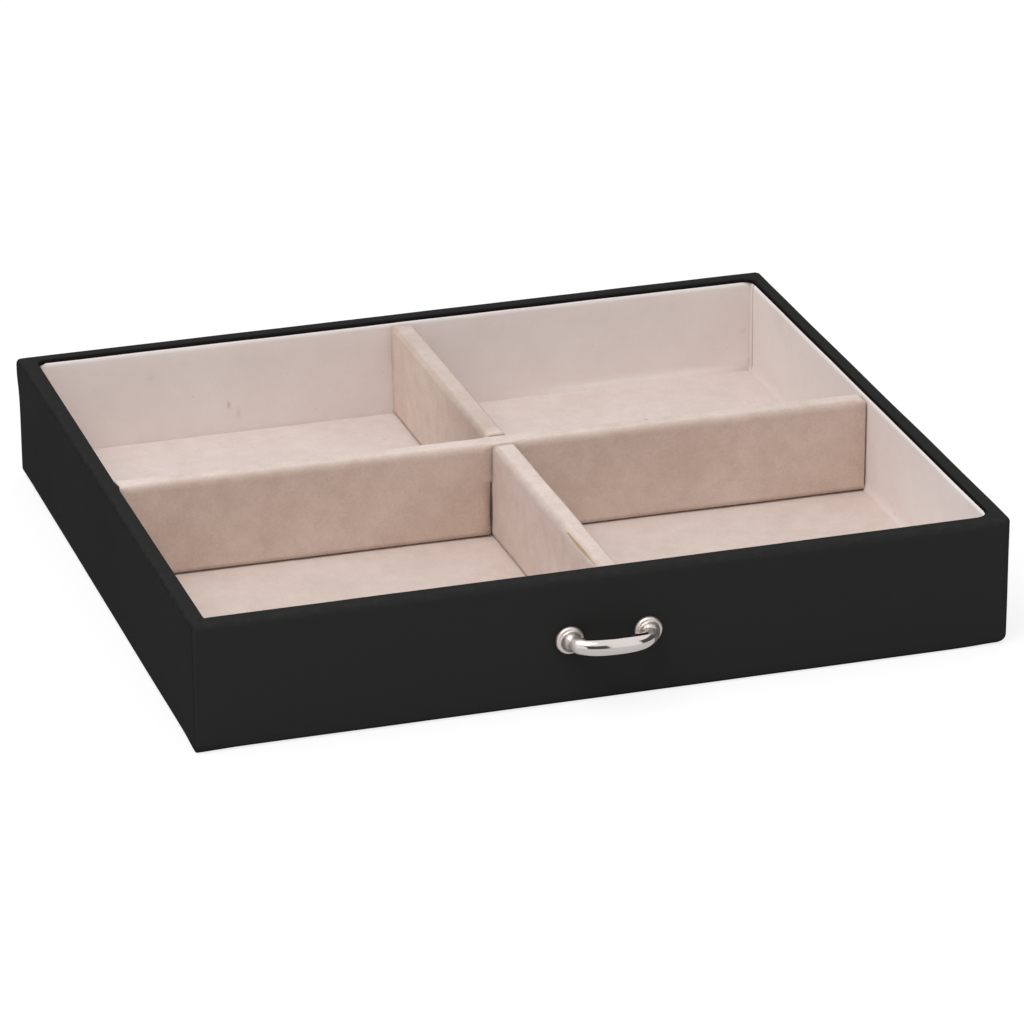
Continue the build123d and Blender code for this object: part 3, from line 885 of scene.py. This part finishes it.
# The section of a wall's velvet: from the lap on the card's top edge, round a small radius, and down the
# card's face, which leans back a little towards the top.
def linerSection(name):
    lap, radius, top = liner["lap"], liner["topRadius"], tray["liningTop"]
    recessTop, recessFoot = liner["recess"].get(name, (0, 0))
    edge, foot = tray["lining"] - liner["lean"] - recessTop, tray["lining"] - recessFoot
    drop = (top - radius - tray["liningBottom"]) * np.linspace(0, 1, 32)[1:] ** 1.3
    leaning = np.clip(drop / liner["leanHeight"], 0, 1) ** liner["leanCurve"]
    lapInset = [tray["turnIn"] + lap["start"], tray["turnIn"] + lap["level"]]
    overTop = edge - radius * (1 - np.sin(quarterTurn(7)))
    inset = np.concatenate([lapInset, overTop, edge + (foot - edge) * leaning])
    downTop = top - radius * (1 - np.cos(quarterTurn(7)))
    height = np.concatenate([[top - lap["dip"], top], downTop, top - radius - drop])
    return inset[:, None], height[:, None]


# The cove is a square curve of the height above the pad, faded in and out along the wall by logistic
# curves. The fold is a bell curve along the wall and up it.
def looseCloth(name, x, height):
    out = 0 * x
    if name in liner["cove"]:
        first, last, depth = liner["cove"][name]
        fadeIn, fadeOut = liner["coveSoftness"]
        soft = 1 / (1 + np.exp((first - x) / fadeIn)) / (1 + np.exp((x - last) / fadeOut))
        above = np.clip((height - padHigh[2] + liner["coveSunk"]) / liner["coveHeight"], 0, 1)
        out = out + depth * (1 - above) ** 2 * soft
    if name in liner["fold"]:
        (along, high), size = liner["fold"][name], liner["foldSize"]
        out = out + size["out"] * bell(x - along, size["width"]) * bell(height - high, size["rise"])
    return out


# One wall's velvet, drawn as the front wall's and turned. Where it is rounded, its ends turn away from
# the room as quarter circles.
def makeLiner(name, turn, halfLength, wallDistance, rounded):
    inset, height = linerSection(name)
    radius = liner["endRadius"]
    ends = radius * (1 - np.cos(quarterTurn(6)))
    middle = np.linspace(radius, 2 * halfLength - radius, 72)[1:-1]
    along = np.concatenate([ends, middle, 2 * halfLength - ends[::-1]]) - halfLength
    x = along[None, :] + 0 * inset
    toEnd = np.clip(halfLength - np.abs(x), 0, radius)
    onFace = np.clip((tray["liningTop"] - height) / 2.0, 0, 1)
    wave = liner["unevenness"] * drift(x, height, liner["waveLength"], 1.0 + turn) * onFace
    if rounded:
        sunk = liner["endDepth"] * (1 - np.sqrt(1 - (1 - toEnd / radius) ** 2))
        inset = inset - sunk * onFace
    inset = inset + looseCloth(name, x, height)
    y = -(wallDistance - inset - wave * np.clip(toEnd / radius, 0, 1))
    topWave = drift(x, 0 * height, liner["topWaveLength"], 3.0 + turn) * (1 - onFace)
    z = height + liner["topUnevenness"] * topWave
    angle = math.radians(turn)
    turnedX = x * math.cos(angle) - y * math.sin(angle)
    turnedY = x * math.sin(angle) + y * math.cos(angle)
    piece = meshFromGrid(f"{name}_wall_velvet", turnedX, turnedY, z, closed=False, inward=True)
    thicken(piece, liner["thickness"])
    seat(piece, "tray", "wallVelvet", "velvet", f"{name}_liner_velvet")
    cut = (tray["liningTop"] - tray["liningBottom"] + tray["lining"] - tray["turnIn"]) * mm


makeLiner("front", 0, boxOf("front_liner_velvet")[1][0], tray["halfDepth"], False)
makeLiner("right", 90, boxOf("right_liner_velvet")[1][1], tray["halfWidth"], True)
makeLiner("back", 180, boxOf("back_liner_velvet")[1][0], tray["halfDepth"], False)
makeLiner("left", 270, boxOf("left_liner_velvet")[1][1], tray["halfWidth"], True)
print("walls lined")


# The slot is from and to along the divider. The top radius is at the start and the end of the divider's
# right hand face, then of its left hand face, seen along its length. It shrinks to the crossing radius at
# the slot and to another at the ends. The foot shift is how far the foot stands to the left at the start
# and at the end.
dividers = dict(
    thickness=8.0,
    endRadius=0.45,
    velvet=0.5,
    unevenness=0.12,
    waveLength=38,
    crown=0.15,
    crownWaveLength=57,
    lapLevel=29.6,
    lapClearance=0.3,
    endGap=0.3,
    radiusAtEnd=1.2,
    endReach=2.5,
    crossingReach=6.0,
    crownReach=6.0,
    pressReach=2.5,
    long=dict(
        centre=(-0.2, 1.0),
        turn=-0.7,
        slot=(-3.31, 5.49),
        topRadius=((2.9, 2.9), (1.4, 1.4)),
        crossingRadius=0.6,
        footShift=(0.0, 0.0),
        pressed=0.35,
    ),
    short=dict(
        centre=(1.1, 0.0),
        turn=90.42,
        slot=(-3.22, 5.38),
        topRadius=((1.4, 1.4), (3.2, 2.0)),
        crossingRadius=2.0,
        footShift=(0.42, -0.42),
        pressed=0.12,
    ),
)
floorPad = dict(
    edgeRadius=1.2,
    sag=0.36,
    unevenness=0.14,
    waveLengths=(73, 29),
    thickness=0.45,
    underGap=0.1,
)
foamPad = dict(sunk=0.9, gap=0.1, edge=0.9, corner=1.2)
feltPad = dict(edge=0.19, corner=2.8)


# The floor's velvet is a flat sheet whose edges fold down over the pad. Along each axis the sheet runs
# straight, then round a quarter circle, then straight down.
def foldedEdge(half, drop, count):
    radius = floorPad["edgeRadius"]
    quarter = quarterTurn(6)[1:]
    flat = np.linspace(0, half - radius, count)
    down = np.linspace(0, drop - radius, 4)[1:]
    place = np.concatenate([flat, half - radius + radius * np.sin(quarter), half + 0 * down])
    fall = np.concatenate([0 * flat, radius * (1 - np.cos(quarter)), radius + down])
    skirt = np.concatenate([0 * flat, 0 * quarter, 1 + 0 * down])
    place = np.concatenate([-place[:0:-1], place])
    fall = np.concatenate([fall[:0:-1], fall])
    skirt = np.concatenate([skirt[:0:-1], skirt])
    return place, fall, skirt


# The pad sags, is a little uneven, and is pressed in under each divider, by a bell curve of the distance
# past the divider's faces.
def floorHeight(x, y):
    long, short = floorPad["waveLengths"]
    rise = drift(x, y, long, 4.0) * 0.6 + drift(x, y, short, 7.0) * 0.4
    height = -floorPad["sag"] + floorPad["unevenness"] * rise
    for facts in (dividers["long"], dividers["short"]):
        angle = math.radians(facts["turn"])
        across = (y - facts["centre"][1]) * math.cos(angle) - (x - facts["centre"][0]) * math.sin(angle)
        past = np.maximum(np.abs(across) - dividers["thickness"] / 2, 0)
        height = height - facts["pressed"] * bell(past, dividers["pressReach"])
    return height


# The corner squares are cut away, as in the real cut.
def makeFloorVelvet():
    halfX, halfY = padHigh[0], padHigh[1]
    lowest = padLow[2] + floorPad["underGap"]
    drop = padHigh[2] - lowest
    placeX, fallX, skirtX = foldedEdge(halfX, drop, 90)
    placeY, fallY, skirtY = foldedEdge(halfY, drop, 80)
    x, y = np.meshgrid(placeX, placeY)
    fallAcross, fallAlong = np.meshgrid(fallX, fallY)
    skirtAcross, skirtAlong = np.meshgrid(skirtX, skirtY)
    z = padHigh[2] + floorHeight(x, y) - fallAcross - fallAlong
    z = np.maximum(z, lowest)
    both = (skirtAcross > 0) & (skirtAlong > 0)
    keep = ~(both[:-1, :-1] | both[1:, 1:] | both[:-1, 1:] | both[1:, :-1])
    piece = meshFromGrid("floor_pad_velvet", x, y, z, closed=False, keep=keep)
    thicken(piece, floorPad["thickness"])
    seat(piece, "tray", "floorVelvet", "velvet", "floor_velvet")
    size = (2 * (halfX + drop) * mm, 2 * (halfY + drop) * mm)
    cut = size[0] * size[1] - 4 * (drop * mm) ** 2


# A flat block with soft edges, as a ring whose section runs from the middle of the bottom round to the
# top's.
def makeSlab(name, low, high, edge, corner):
    bySine, byCosine = edge * (1 - np.sin(quarterTurn(6))), edge * (1 - np.cos(quarterTurn(6)))
    halfX, halfY = high[0], high[1]
    inset = np.concatenate([[halfY, halfY / 2], bySine, byCosine, [halfY / 2, halfY]])[:, None]
    below, above = low[2] + byCosine, high[2] - bySine
    height = np.concatenate([[low[2], low[2]], below, above, [high[2], high[2]]])[:, None]
    columns = ringColumns(np.linspace(0, 1, 22)[1:-1], np.linspace(0, 1, 20)[1:-1], 8)
    bend = np.maximum(corner - inset, 0.0) + np.zeros((1, 4))
    x, y = ringPoints(columns, halfX - inset, halfY - inset, bend)
    return meshFromGrid(name, x, y, height + 0 * x, closed=True)


def makeFloorFoam():
    low, high = boxOf("floor_foam")
    high = high - np.array((foamPad["gap"], foamPad["gap"], foamPad["sunk"]))
    piece = makeSlab("floor_foam_pad", low, high, foamPad["edge"], foamPad["corner"])
    seat(piece, "tray", "foam", "foam", "floor_foam")


def makeUndersideFelt():
    low, high = boxOf("underside_felt")
    high = np.array((high[0], high[1], tray["hemBottom"]))
    piece = makeSlab("underside_felt_sheet", low, high, feltPad["edge"], feltPad["corner"])
    seat(piece, "tray", "felt", "felt", "underside_felt")


makeFloorFoam()
makeFloorVelvet()
makeUndersideFelt()
print("floor padded")


# 0 on the columns of the front face, 1 on those of the back face, and evenly between them round the ends.
def endsBlend(corner, onArc, share):
    onEnds = np.where(corner == 0, share, 1 - share)
    onArcs = (corner == 1) | (corner == 2)
    onRuns = np.where(corner == 1, 1.0, np.where(corner == 3, 0.0, onEnds))
    return np.where(onArc, onArcs * 1.0, onRuns)


# The radius of the top edge at each column: even between its face's start and end, and smaller at the
# crossing, by a flat-topped bell curve, and at the ends, by a bell curve.
def topRadii(facts, place, crossing, halfLength, blend):
    share = (place + halfLength) / (2 * halfLength)
    front, back = [start + (end - start) * share for start, end in facts["topRadius"]]
    radius = front + (back - front) * blend
    near = np.exp(-(((place - crossing) / dividers["crossingReach"]) ** 4))
    radius = radius + (np.minimum(facts["crossingRadius"], radius) - radius) * near
    atEnd = bell(halfLength - np.abs(place), dividers["endReach"])
    return radius + (np.minimum(dividers["radiusAtEnd"], radius) - radius) * atEnd


# Half the divider's length along itself, from its turned box: the box's reach is half the length times the
# cosine of the turn plus half the thickness times its sine.
def halfLengthOf(name, facts, low, high):
    side = 0 if name == "long" else 1
    angle = math.radians(facts["turn"] - 90 * side)
    reach = (high[side] - low[side]) / 2
    return (reach - dividers["thickness"] / 2 * abs(math.sin(angle))) / math.cos(angle)


# The columns of a divider's ring, with the place of each along the divider. The slot's edges are columns.
def coverColumns(facts, halfLength):
    left, right = facts["slot"]
    end = halfLength - dividers["thickness"] / 2 - dividers["endGap"]
    inSlot = np.linspace(left, right, 6)[1:-1]
    stations = np.concatenate([np.linspace(-end, left, 46), inSlot, np.linspace(right, end, 46)])
    columns = ringColumns(stations, np.linspace(0, 1, 8)[1:-1], 6)
    corner, onArc = columns["corner"], columns["onArc"]
    place = np.where((corner == 0) | ((corner == 1) & onArc), halfLength, -halfLength)
    columns["front"] = (corner == 3) & ~onArc
    columns["back"] = (corner == 1) & ~onArc
    place[columns["front"]] = stations
    place[columns["back"]] = stations[::-1]
    columns["place"] = place
    return columns


# The cover's section: up the face to the lap and on to the top edge, round it, and in over the top to the
# middle line. Gives the height and how far in each point is from the face.
def coverSection(bottom, lap, top, radius):
    half = dividers["thickness"] / 2
    quarter = quarterTurn(11)[1:, None]
    below = np.linspace(bottom, lap, 14)[:, None] + 0 * radius
    above = lap + (top - radius - lap) * np.linspace(0, 1, 9)[1:, None]
    over = np.linspace(0, 1, 5)[1:, None]
    roundedIn, roundedUp = radius * (1 - np.cos(quarter)), top - radius * (1 - np.sin(quarter))
    height = np.concatenate([below, above, roundedUp, top + 0 * over * radius])
    inset = np.concatenate([0 * below, 0 * above, roundedIn, radius + (half - radius) * over])
    return height, inset


# Each row's shares of the runs along the two faces, such that its points stay at the columns' places.
def sharesAtPlaces(columns, halfLength, inset, bend):
    shares = columns["share"][None, :] + 0 * inset
    for face, before, after, sign in (("front", 3, 0, -1), ("back", 1, 2, 1)):
        side = columns[face]
        start = sign * (halfLength - inset[:, side] - bend[:, before : before + 1])
        end = -sign * (halfLength - inset[:, side] - bend[:, after : after + 1])
        shares[:, side] = (columns["place"][side] - start) / (end - start)
    return shares


# A divider's velvet is a ring round its long rectangle, closed over the top. The cells inside the slot are
# left out.
def makeDivider(name, facts, seed):
    low, high = boxOf(f"{name}_divider_velvet")
    halfLength = halfLengthOf(name, facts, low, high)
    half = dividers["thickness"] / 2
    bottom, top = low[2], high[2]
    lap = dividers["lapLevel"] - (0 if name == "long" else dividers["lapClearance"])
    left, right = facts["slot"]
    columns = coverColumns(facts, halfLength)
    corner = columns["corner"]
    blend = endsBlend(corner, columns["onArc"], columns["share"])
    radius = topRadii(facts, columns["place"], (left + right) / 2, halfLength, blend)
    height, inset = coverSection(bottom, lap, top, radius)
    firsts = [np.argmax(corner == number) for number in range(4)]
    bend = np.maximum(dividers["endRadius"] - inset[:, firsts], 0.0)
    columns["share"] = sharesAtPlaces(columns, halfLength, inset, bend)
    x, y = ringPoints(columns, halfLength - inset, half - inset, bend)
    middleX = (x[:-1] + np.roll(x, -1, axis=1)[:-1]) / 2
    middleZ = (height[:-1] + height[1:]) / 2
    cut = (middleX > left) & (middleX < right) & (columns["front"] | columns["back"])
    cut = cut & ((middleZ < lap) if name == "long" else (middleZ > lap))
    wave = dividers["unevenness"] * drift(x, height, dividers["waveLength"], seed)
    y = y + np.sign(y) * wave * (1 - inset / half)
    atStart, atEnd = facts["footShift"]
    shift = atStart + (atEnd - atStart) * (x + halfLength) / (2 * halfLength)
    y = y + shift * (top - height) / (top - bottom)
    nearTop = np.clip(1 - (top - height) / dividers["crownReach"], 0, 1)
    crown = 0.4 * drift(x, 0 * height, dividers["crownWaveLength"], seed + 1) - 0.4
    z = height + dividers["crown"] * crown * nearTop
    angle = math.radians(facts["turn"])
    turnedX = facts["centre"][0] + x * math.cos(angle) - y * math.sin(angle)
    turnedY = facts["centre"][1] + x * math.sin(angle) + y * math.cos(angle)
    piece = meshFromGrid(f"{name}_divider_cover", turnedX, turnedY, z, closed=True, keep=~cut)
    thicken(piece, dividers["velvet"])
    seat(piece, f"{name}_divider", "dividerVelvet", "velvet", f"{name}_divider_velvet")
    girth = 2 * (top - bottom) + dividers["thickness"]
    size = ((2 * halfLength + dividers["thickness"]) * mm, girth * mm)


makeDivider("long", dividers["long"], 3.0)
makeDivider("short", dividers["short"], 5.0)
print("dividers covered")


handle = dict(
    centreX=(handleLow[0] + handleHigh[0]) / 2,
    centreZ=(handleLow[2] + handleHigh[2]) / 2,
    footSpacing=27.4,
    footRadius=4.9,
    beadRadius=1.2,
    beadTurn=(-60, 75),
    baseRings=(0, 2.7, 4.35),
    barGap=0.2,
    ballRadius=3.5,
    ballOut=2.6,
    standoff=10.2,
    squareness=3.1,
    rootRadius=2.65,
    middleRadius=3.0,
    leftLift=0.4,
    leftSwell=0.12,
    straightLength=1.2,
    slopeReach=0.6,
)


# The bow's line is half a superellipse: x is half the spacing times |cos t| to the power 2 / squareness,
# and the distance out is the standoff times (sin t) to the same power. Gives x, out and t at places along
# the line.
def bowLine():
    t = np.linspace(0, math.pi, 4001)
    power = 2 / handle["squareness"]
    lineX = np.sign(np.cos(t)) * np.abs(np.cos(t)) ** power * handle["footSpacing"] / 2
    lineOut = np.sin(t) ** power * handle["standoff"]
    step = np.hypot(np.diff(lineX), np.diff(lineOut))
    travelled = np.concatenate([[0], np.cumsum(step)])

    def at(place):
        return [np.interp(place, travelled, values) for values in (lineX, lineOut, t)]

    return travelled[-1], at


# The bow's radius along its line. At each foot it is first a flat base and a round bead, then a ball, the
# square root of the ball's radius squared minus the distance from its middle squared, and no less than
# 0.1. The bar's radius grows from the root to the middle by the cube of sin t, and the two are joined by
# the eighth root of the sum of their eighth powers.
def bowRadii(whole, at):
    bead, gap = handle["beadRadius"], handle["barGap"]
    angle = np.radians(np.linspace(*handle["beadTurn"], 22))
    footOut = np.concatenate([[0, 0, 0], bead + bead * np.sin(angle)])
    beadMiddle = handle["footRadius"] - bead
    footRadius = np.concatenate([handle["baseRings"], beadMiddle + bead * np.cos(angle)])
    rest = np.linspace(footOut[-1] + gap, whole - footOut[-1] - gap, 190)
    t = at(rest)[2]
    swell = (handle["middleRadius"] - handle["rootRadius"]) * np.sin(t) ** 3
    bar = handle["rootRadius"] + swell - handle["leftSwell"] * np.cos(t)
    fromBall = np.minimum(rest, whole - rest) - handle["ballOut"]
    ball = np.sqrt(np.maximum(handle["ballRadius"] ** 2 - fromBall**2, 0.01))
    joined = (bar**8 + ball**8) ** (1 / 8)
    along = np.concatenate([footOut, rest, whole - footOut[::-1]])
    return along, np.concatenate([footRadius, joined, footRadius[::-1]]), footOut[-1]


# The bow is one tube: a circle of the radius, square to the line, at each place along it. In the feet the
# line is taken as straight out. The left end is lifted a little.
def makeHandle():
    whole, at = bowLine()
    along, radius, footEnd = bowRadii(whole, at)
    x, out, _ = at(along)
    aheadX, aheadOut, _ = at(np.clip(along + handle["slopeReach"], 0, whole))
    behindX, behindOut, _ = at(np.clip(along - handle["slopeReach"], 0, whole))
    fromFoot = np.minimum(along, whole - along) - footEnd
    bent = np.clip(fromFoot / handle["straightLength"], 0, 1)
    goX = (aheadX - behindX) * bent
    goOut = (aheadOut - behindOut) * bent + np.where(along < whole / 2, 1, -1) * (1 - bent)
    size = np.hypot(goX, goOut)
    around = np.linspace(0, 2 * math.pi, 65)[:-1][None, :]
    towardsLeft = np.clip(-x / handle["footSpacing"] * 2, 0, 1)
    lift = handle["leftLift"] * towardsLeft * out / handle["standoff"]
    width, height = radius[:, None] * np.cos(around), radius[:, None] * np.sin(around)
    gridX = handle["centreX"] + x[:, None] - (goOut / size)[:, None] * width
    gridOut = out[:, None] + (goX / size)[:, None] * width
    gridZ = handle["centreZ"] + height + lift[:, None]
    piece = meshFromGrid("bow_handle", gridX, -tray["halfDepth"] - gridOut, gridZ, closed=True)
    work = bmesh.new()
    work.from_mesh(piece.data)
    bmesh.ops.recalc_face_normals(work, faces=work.faces)
    work.to_mesh(piece.data)
    work.free()
    seat(piece, "tray", "nickel", "nickel", "handle")


makeHandle()
print("handle made")


sides = ["front", "back", "left", "right"]
plainNodes = dict(
    board=[f"{side}_board" for side in [*sides, "bottom"]] + ["long_divider_core", "short_divider_core"],
    card=[f"{side}_liner_card" for side in sides] + ["floor_card"],
    screwSteel=["handle_screws"],
)
for finish, names in plainNodes.items():
    for name in names:
        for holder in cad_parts[name].material_slots:
            holder.material = finishes[finish]
print("hidden pieces finished")


studio = dict(
    skyStrength=0.66,
    horizonStrength=0.12,
    skyMirrored=0.95,
    horizonMirrored=0.08,
    # how high the sky starts and is full, as the sine of the angle, for the light and in the nickel's
    # mirror
    skyRise=(0.14, 0.36),
    skyRiseMirrored=(0.58, 0.66),
    # which way each card stands, in degrees from the front towards the right, and where its soft edge
    # starts and ends, as the cosine of the angle from its middle
    rightCard=dict(azimuth=29.0, edge=(0.955, 0.980)),
    tallCard=dict(azimuth=29.0, edge=(0.955, 0.975)),
    leftCard=dict(azimuth=-68.0, edge=(0.80, 0.87)),
    cardHeight=0.05,
    lampPower=24.0,
    lampSize=1.6,
    lampPlace=(-0.9, -0.5, 2.0),
    floorSize=40.0,
    floorPale=0.85,
    floorSeen=0.25,
    floorGlow=0.80,
    floorGlowMirrored=0.45,
)


# The sky is even overhead and falls off towards the horizon, except for a pale card at the front right.
# The nickel mirrors a paler sky, a darker horizon, a card as tall as the sky in the same place and a
# second card at the left, so that it has both bright and dark to show.
def makeSky():
    world = bpy.data.worlds.new("studio")
    bpy.context.scene.world = world
    world.use_nodes = True
    recipe = Recipe(world.node_tree)
    direction = recipe.node("TexCoord", output=0)
    heading = recipe.vector("NORMALIZE", recipe.vector("MULTIPLY", direction, (1, 1, 0)))
    height = recipe.axis(direction, 2)

    def card(facts, towards):
        turn = math.radians(facts["azimuth"])
        toCard = (math.sin(turn), -math.cos(turn), studio["cardHeight"])
        return recipe.between(recipe.vector("DOT_PRODUCT", towards, toCard, output=1), *facts["edge"])

    rightCard = card(studio["rightCard"], direction)
    cards = recipe.larger(card(studio["tallCard"], heading), card(studio["leftCard"], direction))
    lit = recipe.larger(recipe.between(height, *studio["skyRise"]), rightCard)
    shown = recipe.larger(recipe.between(height, *studio["skyRiseMirrored"]), cards)
    lighting = studio["horizonStrength"] + lit * (studio["skyStrength"] - studio["horizonStrength"])
    mirror = studio["horizonMirrored"] + shown * (studio["skyMirrored"] - studio["horizonMirrored"])
    strength = lighting + recipe.ray("mirrored") * (mirror - lighting)
    glow = recipe.node("Background", {}, {"Color": (1, 1, 1), "Strength": strength})
    white = recipe.node("Background", {}, {"Color": (1, 1, 1), "Strength": 1.0})
    sky = recipe.node("MixShader", {}, {0: recipe.ray("straight"), 1: glow, 2: white})
    recipe.node("OutputWorld", {}, {"Surface": sky})


def makeLamp():
    lamp = bpy.data.lights.new("softbox", "AREA")
    lamp.energy = studio["lampPower"]
    lamp.size = studio["lampSize"]
    holder = bpy.data.objects.new("softbox", lamp)
    holder.location = studio["lampPlace"]
    aim = -Vector(studio["lampPlace"])
    holder.rotation_euler = aim.to_track_quat("-Z", "Y").to_euler()
    bpy.context.scene.collection.objects.link(holder)


# The floor is pale in the light it gives, darker in what is seen of it, and glows a little, so that it
# shows as white with soft shadows.
def makeFloor():
    half = studio["floorSize"] / 2
    corners = [(-half, -half, 0), (half, -half, 0), (half, half, 0), (-half, half, 0)]
    mesh = bpy.data.meshes.new("floor")
    mesh.from_pydata(corners, [], [(0, 1, 2, 3)])
    floor = bpy.data.objects.new("floor", mesh)
    bpy.context.scene.collection.objects.link(floor)
    material, recipe = newMaterial("paleFloor")
    straight, mirrored, through = [recipe.ray(kind) for kind in ("straight", "mirrored", "through")]
    seen = recipe.larger(recipe.larger(straight, mirrored), through)
    shade = recipe.blend(seen, (studio["floorPale"],) * 3, (studio["floorSeen"],) * 3)
    paint = recipe.node("BsdfDiffuse", {}, {"Color": shade})
    plain = recipe.larger(straight, through) * studio["floorGlow"]
    strength = recipe.larger(plain, mirrored * studio["floorGlowMirrored"])
    glow = recipe.node("Emission", {}, {"Color": (1, 1, 1), "Strength": strength})
    both = recipe.node("AddShader", {}, {0: paint, 1: glow})
    recipe.node("OutputMaterial", {}, {"Surface": both})
    floor.data.materials.append(material)


# Solved from the tray's straight edges in the photograph. Places are in metres, and the directions are the
# camera's own right and forward.
photoCamera = dict(
    place=(-0.5426, -1.7561, 0.7919),
    right=(0.9539, -0.3000, -0.0047),
    forward=(0.2745, 0.8790, -0.3899),
    focalPixels=5683.07,
    imagePixels=1024,
    centrePixel=(513.59, 519.78),
    sensor=36.0,
    clip=(0.05, 100),
)


def makeCamera():
    facts = photoCamera
    data = bpy.data.cameras.new("photoCamera")
    data.sensor_width = facts["sensor"]
    data.lens = facts["focalPixels"] / facts["imagePixels"] * facts["sensor"]
    middle = facts["imagePixels"] / 2
    data.shift_x = (middle - facts["centrePixel"][0]) / facts["imagePixels"]
    data.shift_y = (facts["centrePixel"][1] - middle) / facts["imagePixels"]
    data.clip_start, data.clip_end = facts["clip"]
    back = -Vector(facts["forward"]).normalized()
    right = Vector(facts["right"])
    right = (right - back * right.dot(back)).normalized()
    turned = Matrix((right, back.cross(right), back)).transposed().to_4x4()
    camera = bpy.data.objects.new("photoCamera", data)
    camera.matrix_world = Matrix.Translation(facts["place"]) @ turned
    bpy.context.scene.collection.objects.link(camera)
    bpy.context.scene.camera = camera


makeSky()
makeLamp()
makeFloor()
makeCamera()
bpy.context.scene.view_settings.view_transform = "Standard"
print("studio set")
